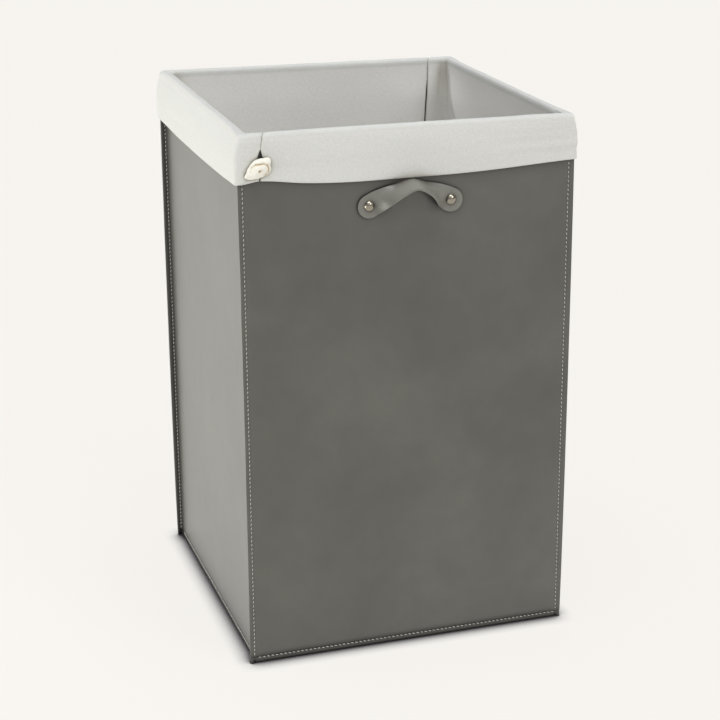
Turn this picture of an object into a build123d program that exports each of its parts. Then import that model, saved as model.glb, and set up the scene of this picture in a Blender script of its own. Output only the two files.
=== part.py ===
"""Open-topped laundry hamper, square in plan, with a lift-out cotton liner.

Four board-stiffened leather walls are sewn to each other along outward seam fins and to a
leather base. A covered board lies loose on the base. The liner bag stands on that board, folds
over the rim of the walls and hangs down outside them as a cuff, which an elastic cord in its
hem draws tight. A riveted strap on the front wall and one on the back wall are the handles.

X runs along the front wall, Y from front to back, Z up. The origin is the middle of the base.
"""

import os
from math import atan2, cos, degrees, hypot, pi, radians, sin

from build123d import *

# ---- driving dimensions, mm -------------------------------------------------------------
seam_width = 381.0  # across the seam fins, left to right
body_depth = 378.0  # over the leather, front to back
height = 610.0  # floor to the top of the liner's rim

leather = 1.2  # covering leather
wall_board = 4.0  # stiffening board inside each wall
lining = 0.8  # lining cloth glued to the inside of the boards
cotton = 1.0  # liner cloth
clearance = 0.4  # between pieces that lift past each other

fin = 6.0  # how far the sewn seams stand out past the side walls
turn_in = 20.0  # leather turned over the top of a wall and down its inside
base_flange = 10.0  # leather of the base turned up behind the walls
base_board_t = 3.0
insert_board_t = 4.0

cuff_drop = 55.5  # how far the liner hangs down outside the walls
hem_height = 40.0  # cloth turned up inside the cuff, which makes the cord's casing
front_seam_x = -157.0  # seam of the liner in its front face
back_seam_x = 154.0  # seam of the liner in its back face
keyhole_width = 5.0  # gap in the front seam where the cord comes out
keyhole_bottom = 568.0
keyhole_top = 592.0

elastic_width = 8.0
elastic_t = 1.0
elastic_z = 578.0  # middle of the elastic
knot_x = -169.0
knot_z = 573.0
knot_radius = 13.5
knot_depth = 9.0

rivet_spacing = 93.0
rivet_z = 522.0
rivet_head_r = 5.5
rivet_head_h = 3.2
rivet_rim_h = 0.6
rivet_post_r = 2.0
rivet_socket = 1.5  # how far the post goes into the cap
burr_r = 4.5  # flange on the inner end of the post
burr_t = 0.8
washer_r = 6.0
washer_t = 1.0

strap_width = 26.0
strap_t = 2.4
strap_rise = 24.0  # middle of the arch above the rivets
strap_standoff = 19.0  # middle of the arch out from its ends
strap_tilt = 78.0  # degrees the strap turns up between an end and the middle
strap_free = 0.84  # share of the way to a rivet over which the strap leaves the wall
strap_sections = 17

# ---- places worked out from them ----------------------------------------------------------
fin_x = seam_width / 2  # tip of the seam fins
side_x = fin_x - fin  # outer face of the side walls
face_y = body_depth / 2  # outer face of the front and back walls

side_board_x = side_x - leather  # outer face of the side boards
front_board_y = face_y - leather  # outer face of the front and back boards
side_lining_x = side_board_x - wall_board  # inner face of the side boards
front_lining_y = front_board_y - wall_board  # inner face of the front and back boards
side_inner_x = side_lining_x - leather  # inner face of the turned-in leather, sides
front_inner_y = front_lining_y - leather  # inner face of the turned-in leather, front, back

rim_gap = 3.5  # between the wall's top edge and the cloth over it, which hangs slack there
wall_top = height - cotton - rim_gap
turn_in_z = wall_top - turn_in

base_board_z = leather
insert_z = base_board_z + base_board_t
insert_top = insert_z + insert_board_t + 2 * lining
insert_half_x = side_inner_x - clearance
insert_half_y = front_inner_y - clearance
liner_z = insert_top + clearance

bag_x = side_inner_x - clearance  # outer face of the liner bag
bag_y = front_inner_y - clearance
hem_z = height - cuff_drop
casing_x = fin_x + clearance  # inner face of the cuff, over the fins
casing_y = face_y + clearance
cord_x = casing_x + cotton  # inner face of the elastic
cord_y = casing_y + cotton
cuff_x = cord_x + elastic_t + cotton  # outer face of the cuff
cuff_y = cord_y + elastic_t + cotton


def save(builder, name):
    """Label a finished piece and write it to its own file."""
    builder.part.label = name
    export_step(builder.part, f"parts/{name}.step")


def frame_profile(outer_x, outer_y, inner_x, inner_y):
    """Rectangular ring in plan, drawn into the sketch in progress."""
    Rectangle(2 * outer_x, 2 * outer_y)
    Rectangle(2 * inner_x, 2 * inner_y, mode=Mode.SUBTRACT)


os.makedirs("parts", exist_ok=True)

# ---- front and back leather ---------------------------------------------------------------
# One sheet per wall, as wide as the seams. Its top is turned over the board and down inside.
rivet_spots = [(-rivet_spacing / 2, rivet_z), (rivet_spacing / 2, rivet_z)]
facing_front = Plane.XZ.offset(face_y)  # its normal points out of the front wall

with BuildPart() as front_cover:
    with BuildSketch(Plane.XY):
        with Locations((0, -face_y + leather / 2)):
            Rectangle(seam_width, leather)
    extrude(amount=wall_top)
    with BuildSketch(Plane.XY.offset(wall_top)):
        with Locations((0, -(front_board_y + front_inner_y) / 2)):
            Rectangle(2 * side_board_x, front_board_y - front_inner_y)
    extrude(amount=-leather)
    with BuildSketch(Plane.XY.offset(wall_top - leather)):
        with Locations((0, -(front_lining_y + front_inner_y) / 2)):
            Rectangle(2 * side_lining_x, leather)
    extrude(amount=-(turn_in - leather))
    with BuildSketch(facing_front):
        with Locations(*rivet_spots):
            Circle(rivet_post_r)
    extrude(amount=-leather, mode=Mode.SUBTRACT)
save(front_cover, "front_cover")

with BuildPart() as back_cover:
    mirror(front_cover.part, about=Plane.XZ)
save(back_cover, "back_cover")

# ---- side leather -------------------------------------------------------------------------
# Its front and back edges are turned outwards and sewn behind the front and back sheets.
with BuildPart() as left_cover:
    with BuildSketch(Plane.XY):
        with Locations((-side_x + leather / 2, 0)):
            Rectangle(leather, 2 * front_board_y)
        with Locations(
            (-(fin_x + side_x) / 2, -front_board_y + leather / 2),
            (-(fin_x + side_x) / 2, front_board_y - leather / 2),
        ):
            Rectangle(fin, leather)
    extrude(amount=wall_top)
    with BuildSketch(Plane.XY.offset(wall_top)):
        with Locations((-(side_board_x + side_inner_x) / 2, 0)):
            Rectangle(side_board_x - side_inner_x, 2 * front_inner_y)
    extrude(amount=-leather)
    with BuildSketch(Plane.XY.offset(wall_top - leather)):
        with Locations((-(side_lining_x + side_inner_x) / 2, 0)):
            Rectangle(leather, 2 * front_inner_y)
    extrude(amount=-(turn_in - leather))
save(left_cover, "left_cover")

with BuildPart() as right_cover:
    mirror(left_cover.part, about=Plane.YZ)
save(right_cover, "right_cover")

# ---- stiffening boards --------------------------------------------------------------------
# They stand on the turned-up edge of the base. The front and back boards are bored for the
# rivets and pocketed on the inside, so that the washers lie below the lining.
board_height = wall_top - leather - base_flange
pocket_depth = washer_t + burr_t

with BuildPart() as front_board:
    with BuildSketch(Plane.XY.offset(base_flange)):
        with Locations((0, -(front_board_y + front_lining_y) / 2)):
            Rectangle(2 * side_board_x, wall_board)
    extrude(amount=board_height)
    with BuildSketch(Plane.XZ.offset(front_board_y)):
        with Locations(*rivet_spots):
            Circle(rivet_post_r)
    extrude(amount=-wall_board, mode=Mode.SUBTRACT)
    with BuildSketch(Plane.XZ.offset(front_lining_y)):
        with Locations(*rivet_spots):
            Circle(washer_r)
    extrude(amount=pocket_depth, mode=Mode.SUBTRACT)
save(front_board, "front_board")

with BuildPart() as back_board:
    mirror(front_board.part, about=Plane.XZ)
save(back_board, "back_board")

with BuildPart() as left_board:
    with BuildSketch(Plane.XY.offset(base_flange)):
        with Locations((-(side_board_x + side_lining_x) / 2, 0)):
            Rectangle(wall_board, 2 * front_lining_y)
    extrude(amount=board_height)
save(left_board, "left_board")

with BuildPart() as right_board:
    mirror(left_board.part, about=Plane.YZ)
save(right_board, "right_board")

# ---- linings ------------------------------------------------------------------------------
# Cloth glued to the inside of each board, up to the turned-in leather.
lining_height = turn_in_z - base_flange

with BuildPart() as front_lining:
    with BuildSketch(Plane.XY.offset(base_flange)):
        with Locations((0, -front_lining_y + lining / 2)):
            Rectangle(2 * side_lining_x, lining)
    extrude(amount=lining_height)
save(front_lining, "front_lining")

with BuildPart() as back_lining:
    mirror(front_lining.part, about=Plane.XZ)
save(back_lining, "back_lining")

with BuildPart() as left_lining:
    with BuildSketch(Plane.XY.offset(base_flange)):
        with Locations((-side_lining_x + lining / 2, 0)):
            Rectangle(lining, 2 * (front_lining_y - lining))
    extrude(amount=lining_height)
save(left_lining, "left_lining")

with BuildPart() as right_lining:
    mirror(left_lining.part, about=Plane.YZ)
save(right_lining, "right_lining")

# ---- base ---------------------------------------------------------------------------------
# A shallow leather tray, sewn to the foot of the walls by its turned-up edge, and a board.
with BuildPart() as base_cover:
    with BuildSketch(Plane.XY):
        Rectangle(2 * side_board_x, 2 * front_board_y)
    extrude(amount=leather)
    with BuildSketch(Plane.XY.offset(leather)):
        frame_profile(side_board_x, front_board_y, side_board_x - leather, front_board_y - leather)
    extrude(amount=base_flange - leather)
save(base_cover, "base_cover")

with BuildPart() as base_board:
    with BuildSketch(Plane.XY.offset(base_board_z)):
        Rectangle(2 * (side_board_x - leather), 2 * (front_board_y - leather))
    extrude(amount=base_board_t)
save(base_board, "base_board")

# ---- loose base insert --------------------------------------------------------------------
# A board wrapped in lining cloth, cut to drop in between the walls.
with BuildPart() as insert_board:
    with BuildSketch(Plane.XY.offset(insert_z + lining)):
        Rectangle(2 * (insert_half_x - lining), 2 * (insert_half_y - lining))
    extrude(amount=insert_board_t)
save(insert_board, "insert_board")

with BuildPart() as insert_cover:
    with BuildSketch(Plane.XY.offset(insert_z)):
        Rectangle(2 * insert_half_x, 2 * insert_half_y)
    extrude(amount=insert_top - insert_z)
    add(insert_board.part, mode=Mode.SUBTRACT)
save(insert_cover, "insert_cover")


# ---- handles ------------------------------------------------------------------------------
# A flat strap with round ends lies against the wall at its rivets. Between them it arches up
# and out, and turns until its face looks up, so that a hand hooks under the middle.
def arch(along):
    """Share of the arch at a place along the strap, from -1 at one rivet to 1 at the other."""
    free = max(0, (strap_free - abs(along)) / strap_free)
    return sin(pi / 2 * free) ** 1.3


def strap_point(along):
    """Middle of the strap's thickness and width."""
    rise = strap_rise * (1 - abs(along) ** 1.6)
    out = face_y + strap_t / 2 + strap_standoff * arch(along)
    return Vector(rivet_spacing / 2 * along, -out, rivet_z + rise)


def strap_plane(along):
    """Plane across the strap: its x runs over the strap's width, up or towards the wall."""
    step = 1e-5
    run = (strap_point(along + step) - strap_point(along - step)).normalized()
    up_wall = run.cross(Vector(0, -1, 0)).normalized() * -1
    outward = run.cross(up_wall).normalized() * -1
    tilt = radians(strap_tilt) * arch(along)
    over = up_wall * cos(tilt) - outward * sin(tilt)
    return Plane(origin=strap_point(along), x_dir=over, z_dir=run)


flat_end = strap_plane(strap_free)
flat_end_slope = degrees(atan2(flat_end.z_dir.Z, flat_end.z_dir.X))
flat_end_length = hypot(rivet_spacing / 2 - flat_end.origin.X, flat_end.origin.Z - rivet_z)

with BuildPart() as front_handle_strap:
    for i in range(strap_sections):
        with BuildSketch(strap_plane(strap_free * (2 * i / (strap_sections - 1) - 1))):
            Rectangle(strap_width, strap_t)
    loft(ruled=True)
    with BuildSketch(facing_front):
        with Locations(Location((flat_end.origin.X, flat_end.origin.Z, 0), flat_end_slope)):
            Rectangle(flat_end_length, strap_width, align=(Align.MIN, Align.CENTER))
        with Locations(rivet_spots[1]):
            Circle(strap_width / 2)
            Circle(rivet_post_r, mode=Mode.SUBTRACT)
        mirror(about=Plane.YZ)
    extrude(amount=strap_t)
save(front_handle_strap, "front_handle_strap")

with BuildPart() as rear_handle_strap:
    mirror(front_handle_strap.part, about=Plane.XZ)
save(rear_handle_strap, "rear_handle_strap")

# ---- rivets -------------------------------------------------------------------------------
# Domed cap outside, post through strap, leather and board, washer and burr inside.
strap_face_y = face_y + strap_t
post_end_y = strap_face_y + rivet_socket
post_start_y = front_lining_y
washer_y = post_start_y + burr_t

with BuildPart() as rivet_cap:
    with BuildSketch(Plane.XZ):
        with BuildLine():
            Polyline(
                (0, rivet_head_h),
                (0, rivet_socket),
                (rivet_post_r, rivet_socket),
                (rivet_post_r, 0),
                (rivet_head_r, 0),
                (rivet_head_r, rivet_rim_h),
            )
            TangentArc((0, rivet_head_h), (rivet_head_r, rivet_rim_h), tangent=(1, 0))
        make_face()
    revolve(axis=Axis.Z)

with BuildPart() as front_rivet_caps:
    for x, z in rivet_spots:
        with Locations(Plane(origin=(x, -strap_face_y, z), x_dir=(1, 0, 0), z_dir=(0, -1, 0))):
            add(rivet_cap.part)
save(front_rivet_caps, "front_rivet_caps")

with BuildPart() as rear_rivet_caps:
    mirror(front_rivet_caps.part, about=Plane.XZ)
save(rear_rivet_caps, "rear_rivet_caps")

with BuildPart() as front_rivet_posts:
    with BuildSketch(Plane.XZ.offset(post_start_y)):
        with Locations(*rivet_spots):
            Circle(burr_r)
    extrude(amount=burr_t)
    with BuildSketch(Plane.XZ.offset(washer_y)):
        with Locations(*rivet_spots):
            Circle(rivet_post_r)
    extrude(amount=post_end_y - washer_y)
save(front_rivet_posts, "front_rivet_posts")

with BuildPart() as rear_rivet_posts:
    mirror(front_rivet_posts.part, about=Plane.XZ)
save(rear_rivet_posts, "rear_rivet_posts")

with BuildPart() as front_rivet_washers:
    with BuildSketch(Plane.XZ.offset(washer_y)):
        with Locations(*rivet_spots):
            Circle(washer_r)
            Circle(rivet_post_r, mode=Mode.SUBTRACT)
    extrude(amount=washer_t)
save(front_rivet_washers, "front_rivet_washers")

with BuildPart() as rear_rivet_washers:
    mirror(front_rivet_washers.part, about=Plane.XZ)
save(rear_rivet_washers, "rear_rivet_washers")

# ---- liner --------------------------------------------------------------------------------
# Two lengths of cotton meet at a seam in the front face and one in the back face. Each runs up
# inside the walls, over the rim and down outside as the cuff, whose edge is turned up inside
# as a casing for the elastic. The bottom is a separate square of the same cloth.
with BuildPart() as liner_cloth:
    with BuildSketch(Plane.XY.offset(liner_z + cotton)):
        frame_profile(bag_x, bag_y, bag_x - cotton, bag_y - cotton)
    extrude(amount=height - liner_z - cotton)
    with BuildSketch(Plane.XY.offset(height)):
        frame_profile(cuff_x, cuff_y, bag_x - cotton, bag_y - cotton)
    extrude(amount=-cotton)
    with BuildSketch(Plane.XY.offset(hem_z)):
        frame_profile(cuff_x, cuff_y, cuff_x - cotton, cuff_y - cotton)
    extrude(amount=cuff_drop)
    with BuildSketch(Plane.XY.offset(hem_z)):
        frame_profile(cuff_x, cuff_y, casing_x, casing_y)
    extrude(amount=cotton)
    with BuildSketch(Plane.XY.offset(hem_z)):
        frame_profile(casing_x + cotton, casing_y + cotton, casing_x, casing_y)
    extrude(amount=hem_height)
    with BuildSketch(Plane.XZ.offset(cuff_y)):
        with Locations((front_seam_x, (keyhole_bottom + keyhole_top) / 2)):
            Rectangle(keyhole_width, keyhole_top - keyhole_bottom)
    extrude(amount=-cotton, mode=Mode.SUBTRACT)


def wrap(side):
    """One of the two lengths of cloth: side is 1 for the front and right, -1 for the rest."""
    reach = seam_width
    turn_y = face_y / 2
    with BuildPart() as length:
        add(liner_cloth.part)
        with BuildSketch(Plane.XY):
            with BuildLine():
                Polyline(
                    (front_seam_x, -reach),
                    (front_seam_x, -turn_y),
                    (back_seam_x, turn_y),
                    (back_seam_x, reach),
                    (side * reach, reach),
                    (side * reach, -reach),
                    close=True,
                )
            make_face()
        extrude(amount=height, mode=Mode.INTERSECT)
    return length


liner_front_right = wrap(1)
save(liner_front_right, "liner_front_right")

liner_back_left = wrap(-1)
save(liner_back_left, "liner_back_left")

with BuildPart() as liner_bottom:
    with BuildSketch(Plane.XY.offset(liner_z)):
        Rectangle(2 * bag_x, 2 * bag_y)
    extrude(amount=cotton)
save(liner_bottom, "liner_bottom")

# ---- drawcord -----------------------------------------------------------------------------
# Flat elastic all round inside the hem casing. Both ends leave through the keyhole in the
# front seam and are tied in a flat knot that lies on the cuff.
with BuildPart() as hem_elastic:
    with BuildSketch(Plane.XY.offset(elastic_z - elastic_width / 2)):
        frame_profile(cord_x + elastic_t, cord_y + elastic_t, cord_x, cord_y)
    extrude(amount=elastic_width)
save(hem_elastic, "hem_elastic")

with BuildPart() as knot_lump:
    with BuildSketch(Plane.XZ):
        with BuildLine():
            Polyline((0, knot_depth), (0, 0), (knot_radius, 0))
            TangentArc((0, knot_depth), (knot_radius, 0), tangent=(1, 0))
        make_face()
    revolve(axis=Axis.Z)

with BuildPart() as elastic_knot:
    with Locations(Plane(origin=(knot_x, -cuff_y, knot_z), x_dir=(1, 0, 0), z_dir=(0, -1, 0))):
        add(knot_lump.part)
    with BuildSketch(Plane.XZ.offset(cuff_y - cotton)):
        with Locations((front_seam_x, elastic_z)):
            Rectangle(keyhole_width, elastic_width)
    extrude(amount=cotton + knot_depth / 4)
save(elastic_knot, "elastic_knot")
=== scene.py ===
from math import atan2, cos, exp, pi, radians, sin, sqrt

import bmesh
import bpy
from mathutils import Matrix, Vector, noise


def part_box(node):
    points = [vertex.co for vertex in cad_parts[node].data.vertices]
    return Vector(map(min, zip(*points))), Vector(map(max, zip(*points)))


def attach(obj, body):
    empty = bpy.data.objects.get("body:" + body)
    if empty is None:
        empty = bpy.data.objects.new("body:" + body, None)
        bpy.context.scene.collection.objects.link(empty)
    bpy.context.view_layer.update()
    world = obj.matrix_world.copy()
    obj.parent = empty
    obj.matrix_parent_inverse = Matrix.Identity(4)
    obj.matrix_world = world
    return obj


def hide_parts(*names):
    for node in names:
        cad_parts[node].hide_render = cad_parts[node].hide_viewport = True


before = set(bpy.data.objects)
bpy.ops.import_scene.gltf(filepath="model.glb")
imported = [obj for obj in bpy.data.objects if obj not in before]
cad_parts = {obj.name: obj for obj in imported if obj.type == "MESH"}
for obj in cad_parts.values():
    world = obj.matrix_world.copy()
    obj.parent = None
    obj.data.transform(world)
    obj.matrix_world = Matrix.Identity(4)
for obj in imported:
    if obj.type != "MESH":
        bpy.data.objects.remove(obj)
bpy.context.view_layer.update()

# ---- Front and back leather ----------------------------------------------------------------
# One sheet of smooth coated leather covers each of these walls from seam to seam. It is glued
# to a board, turned over the board's top edge and down inside, and sewn 5.5 mm in from its
# sides to the edges of the side leather, and to the base at its foot.
LEATHER = 0.0012
front_low, front_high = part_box("front_cover")
fin_tip = front_high.x
face_y = front_low.y
wall_top = front_high.z
fin_root = -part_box("left_board")[0].x + LEATHER
stitch_inset = 0.0055
foot_seam_z = 0.006
groove_half = 0.0024
groove_depth = 0.00085
foot_groove_half = 0.0022
lip_depth = front_high.y - front_low.y
lip_drop = 0.020


def open_mesh():
    """Open the active piece in edit mode with all of it selected."""
    bpy.ops.object.mode_set(mode="EDIT")
    bpy.ops.mesh.select_all(action="SELECT")


def close_outward():
    """Turn all of the open mesh's normals outward and leave edit mode."""
    bpy.ops.mesh.select_all(action="SELECT")
    bpy.ops.mesh.normals_make_consistent(inside=False)
    bpy.ops.object.mode_set(mode="OBJECT")


def start_grid(name, columns, rows):
    """A new flat grid, one unit square, alone in the selection and open in edit mode."""
    bpy.ops.object.select_all(action="DESELECT")
    bpy.ops.mesh.primitive_grid_add(x_subdivisions=columns, y_subdivisions=rows, size=1)
    piece = bpy.context.object
    piece.name = name
    piece.data.name = name
    open_mesh()
    return piece


def pick(piece, test):
    """In edit mode, select the vertices whose place passes the test, and the faces between."""
    mesh = bmesh.from_edit_mesh(piece.data)
    mesh.select_mode = {"VERT"}
    for vertex in mesh.verts:
        vertex.select = test(vertex.co)
    mesh.select_flush_mode()
    bmesh.update_edit_mesh(piece.data)


def cut_loops(places, normal):
    """Bisect the whole mesh at each place along a direction, to add a row of edges there."""
    for place in places:
        bpy.ops.mesh.select_all(action="SELECT")
        bpy.ops.mesh.bisect(plane_co=Vector(normal) * place, plane_no=normal)


def apply_modifiers(piece):
    """Apply each modifier of a piece in turn."""
    bpy.ops.object.select_all(action="DESELECT")
    piece.select_set(True)
    bpy.context.view_layer.objects.active = piece
    for modifier in list(piece.modifiers):
        bpy.ops.object.modifier_apply(modifier=modifier.name)


def give_thickness(piece, thickness, edge_round, segments=2, rim_slot=0, even=True):
    """Thicken a sheet towards its back and round its cut edges."""
    solid = piece.modifiers.new("thickness", "SOLIDIFY")
    solid.thickness = thickness
    solid.offset = -1
    solid.use_even_offset = even
    solid.material_offset_rim = rim_slot
    edge = piece.modifiers.new("edge", "BEVEL")
    edge.width = edge_round
    edge.segments = segments
    edge.limit_method = "ANGLE"
    edge.angle_limit = radians(50)
    apply_modifiers(piece)
    bpy.ops.object.shade_smooth_by_angle(angle=radians(45))


def copy_turned(piece, name, angle):
    """A copy with its own mesh, turned about the hamper's upright axis."""
    twin = piece.copy()
    twin.data = piece.data.copy()
    twin.name = name
    twin.data.name = name
    twin.data.transform(Matrix.Rotation(angle, 4, "Z"))
    bpy.context.collection.objects.link(twin)
    return twin


def new_material(name):
    """A material with its shader and a way to add a node: (material, shader, add, link)."""
    material = bpy.data.materials.new(name)
    material.use_nodes = True
    tree = material.node_tree
    shader = tree.nodes["Principled BSDF"]

    def add(kind, **settings):
        node = tree.nodes.new(kind)
        for key, value in settings.items():
            if key[0].isupper():
                node.inputs[key.replace("_", " ")].default_value = value
            else:
                setattr(node, key, value)
        return node

    return material, shader, add, tree.links.new


def ramp_colours(node, stops):
    """Set a colour ramp's stops from (place, colour) pairs."""
    ramp = node.color_ramp
    while len(ramp.elements) < len(stops):
        ramp.elements.new(0.5)
    for element, (place, colour) in zip(ramp.elements, stops):
        element.position = place
        element.color = (*colour, 1)


def painted_hollow_shade(add, link, colour, reach, stops):
    """A colour with painted shade: made darker in hollows and beside any neighbour within reach."""
    nearby = add("ShaderNodeAmbientOcclusion", samples=8, Distance=reach)
    hollow = add("ShaderNodeValToRGB")
    ramp_colours(hollow, stops)
    darker = add("ShaderNodeMixRGB", blend_type="MULTIPLY", Fac=1.0)
    link(nearby.outputs["AO"], hollow.inputs["Fac"])
    link(colour, darker.inputs["Color1"])
    link(hollow.outputs["Color"], darker.inputs["Color2"])
    return darker.outputs["Color"]


def leather_finish(name, dark, middle, light, rough_low, rough_high, grain=0.10):
    """Coated leather: cloudy colour with painted shade in hollows, fine grain in the bump and an uneven
    satin.
    """
    material, shader, add, link = new_material(name)
    place = add("ShaderNodeTexCoord")
    clouds = add("ShaderNodeTexNoise", Scale=6.5, Detail=5.0, Roughness=0.58, Distortion=0.4)
    shade = add("ShaderNodeValToRGB")
    ramp_colours(shade, [(0.30, dark), (0.50, middle), (0.70, light)])
    patches = add("ShaderNodeTexNoise", Scale=38.0, Detail=4.0, Roughness=0.6)
    tint = add("ShaderNodeMixRGB", blend_type="OVERLAY", Fac=0.16)
    link(place.outputs["Object"], clouds.inputs["Vector"])
    link(place.outputs["Object"], patches.inputs["Vector"])
    link(clouds.outputs["Fac"], shade.inputs["Fac"])
    link(shade.outputs["Color"], tint.inputs["Color1"])
    link(patches.outputs["Fac"], tint.inputs["Color2"])
    # Painted shade: reddish brown in grooves and where cuff, strap or floor come close, for contact
    # shadow.
    brown_painted_shade = [(0.48, (0.10, 0.07, 0.06)), (0.80, (0.50, 0.46, 0.45)), (0.96, (1, 1, 1))]
    colour = painted_hollow_shade(add, link, tint.outputs["Color"], 0.014, brown_painted_shade)
    link(colour, shader.inputs["Base Color"])
    pores = add("ShaderNodeTexVoronoi", Scale=1100.0)
    creases = add("ShaderNodeTexNoise", Scale=420.0, Detail=3.0)
    relief = add("ShaderNodeMath", operation="ADD")
    bump = add("ShaderNodeBump", Strength=grain, Distance=0.0004)
    link(place.outputs["Object"], pores.inputs["Vector"])
    link(place.outputs["Object"], creases.inputs["Vector"])
    link(pores.outputs["Distance"], relief.inputs[0])
    link(creases.outputs["Fac"], relief.inputs[1])
    link(relief.outputs[0], bump.inputs["Height"])
    link(bump.outputs["Normal"], shader.inputs["Normal"])
    gloss = add("ShaderNodeMapRange")
    gloss.inputs["To Min"].default_value = rough_low
    gloss.inputs["To Max"].default_value = rough_high
    link(patches.outputs["Fac"], gloss.inputs["Value"])
    link(gloss.outputs["Result"], shader.inputs["Roughness"])
    shader.inputs["IOR"].default_value = 1.5
    shader.inputs["Coat Weight"].default_value = 0.8
    shader.inputs["Coat Roughness"].default_value = 0.34
    return material


def groove(distance, half_width):
    """Depth share of a sewn groove at a distance from its stitches, 1 at the stitches."""
    return max(0.0, 1 - (distance / half_width) ** 2) ** 2


def leather_swell(place, seed):
    """Slow unevenness of leather glued over board, in metres."""
    slow = noise.noise(Vector((place.x * 5, seed, place.z * 4)))
    quick = noise.noise(Vector((place.x * 17, seed + 7, place.z * 13)))
    return 0.00035 * slow + 0.00012 * quick


wall_leather = leather_finish(
    "wall_leather",
    (0.061, 0.0600, 0.0485), (0.073, 0.0722, 0.0590), (0.090, 0.0888, 0.0738),
    rough_low=0.36, rough_high=0.48,
)

front_panel = start_grid("front_leather", 58, 92)
bpy.ops.transform.resize(value=(2 * fin_tip, wall_top, 1))
bpy.ops.transform.rotate(value=-pi / 2, orient_axis="X", center_override=(0, 0, 0))
bpy.ops.transform.translate(value=(0, face_y, wall_top / 2))
seam_x = fin_tip - stitch_inset
beside = [groove_half * share for share in (-1, -0.5, 0, 0.5, 1)]
cut_loops([side * (seam_x + step) for side in (-1, 1) for step in beside], (1, 0, 0))
cut_loops([foot_seam_z + step for step in beside], (0, 0, 1))
pick(front_panel, lambda place: place.z > wall_top - 1e-5 and abs(place.x) < fin_root - 0.0015)
bpy.ops.mesh.extrude_region_move(TRANSFORM_OT_translate={"value": (0, lip_depth, 0)})
bpy.ops.mesh.extrude_region_move(TRANSFORM_OT_translate={"value": (0, 0, -lip_drop)})
bpy.ops.object.mode_set(mode="OBJECT")


def smooth(x, low, high):
    """Rises from 0 to 1 between low and high, with soft ends."""
    t = max(0.0, min(1.0, (x - low) / (high - low)))
    return t * t * (3 - 2 * t)


def fin_stretch(side, z):
    """How much further than cut a fin's edge stands: bowed, and pressed back under the cuff."""
    bow_right, bow_left, bow_height, pressed = 0.0014, -0.0010, 0.6, 0.0022
    bow = sin(pi * min(1.0, max(0.0, z / bow_height))) ** 0.6
    return (bow_right if side > 0 else bow_left) * bow - pressed * smooth(z, 0.560, 0.598)


def fin_top_cut(reach, z):
    """How much lower a fin's top is cut than the wall's, from its seam to its edge."""
    return reach * 0.0030 * smooth(z, 0.595, wall_top)


def shape_panel(panel, seed):
    """Sink the seams, swell the leather between them and bend the fins a little."""
    for vertex in panel.data.vertices:
        place = vertex.co
        if place.y > face_y + 1e-4:
            continue
        side = 1 if place.x > 0 else -1
        out = abs(place.x)
        sunk = groove_depth * max(
            groove(out - seam_x, groove_half), groove(place.z - foot_seam_z, foot_groove_half)
        )
        board = leather_swell(place, seed) if out < seam_x - 0.003 else 0
        puff = 0.0003 * groove(out - (seam_x - 0.006), 0.004)
        place.y += sunk + board - puff
        if out > seam_x:
            reach = (out - seam_x) / stitch_inset
            wave = noise.noise(Vector((side * 3.1, seed, place.z * 21)))
            place.y += reach * 0.0006 * wave
            place.x += side * reach * 0.0004 * wave
            foot = max(0.0, 1 - place.z / 0.012)
            place.y -= reach * foot * 0.0016
            place.x -= side * reach * foot * 0.0010
            place.x += side * reach * fin_stretch(side, place.z)
            place.z -= fin_top_cut(reach, place.z)


shape_panel(front_panel, 2.0)
front_panel.data.materials.append(wall_leather)
give_thickness(front_panel, LEATHER, 0.00035)
back_panel = copy_turned(front_panel, "back_leather", pi)
for panel, node in ((front_panel, "front_cover"), (back_panel, "back_cover")):
    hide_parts(node)
    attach(panel, "shell")

# ---- Side leather --------------------------------------------------------------------------
# The same leather over the side boards. Its front and back edges turn outwards and are sewn
# behind the front and back sheets, so that each corner of the hamper is a flat fin.
web_x = -fin_root
flange_y = -(face_y + LEATHER) - LEATHER
left_panel = start_grid("left_leather", 92, 56)
bpy.ops.transform.resize(value=(wall_top, 2 * flange_y, 1))
bpy.ops.transform.rotate(value=-pi / 2, orient_axis="Y", center_override=(0, 0, 0))
bpy.ops.transform.translate(value=(web_x, 0, wall_top / 2))
cut_loops([foot_seam_z + step for step in beside], (0, 0, 1))
for side in (-1, 1):
    pick(left_panel, lambda place: abs(place.y - side * flange_y) < 1e-5)
    for step in (0.0008, 0.0026, 0.0026):
        bpy.ops.mesh.extrude_region_move(TRANSFORM_OT_translate={"value": (-step, 0, 0)})
pick(
    left_panel,
    lambda place: place.z > wall_top - 1e-5
    and abs(place.x - web_x) < 1e-5
    and abs(place.y) < flange_y - 0.004,
)
bpy.ops.mesh.extrude_region_move(TRANSFORM_OT_translate={"value": (lip_depth, 0, 0)})
bpy.ops.mesh.extrude_region_move(TRANSFORM_OT_translate={"value": (0, 0, -lip_drop)})
close_outward()
web_middle = Vector((web_x, 0, wall_top / 2))
if min(left_panel.data.polygons, key=lambda f: (f.center - web_middle).length).normal.x > 0:
    left_panel.data.flip_normals()
for vertex in left_panel.data.vertices:
    place = vertex.co
    if place.x > web_x + 1e-4:
        continue
    if abs(place.x - web_x) < 1e-5:
        turned = Vector((place.y, 0, place.z))
        inner = min(1, (flange_y - abs(place.y)) / 0.02)
        foot_sunk = 0.0005 * groove(place.z - foot_seam_z, foot_groove_half)
        place.x += inner * leather_swell(turned, 11.0) + foot_sunk
    else:
        side = 1 if place.y > 0 else -1
        reach = (web_x - place.x) / stitch_inset
        wave = noise.noise(Vector((-side * 3.1, 2.0, place.z * 21)))
        place.x -= reach * (0.0004 * wave + fin_stretch(side, place.z))
        place.z -= fin_top_cut(reach, place.z)
left_panel.data.materials.append(wall_leather)
give_thickness(left_panel, LEATHER, 0.0004)
right_panel = copy_turned(left_panel, "right_leather", pi)
for panel, node in ((left_panel, "left_cover"), (right_panel, "right_cover")):
    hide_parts(node)
    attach(panel, "shell")

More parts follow.
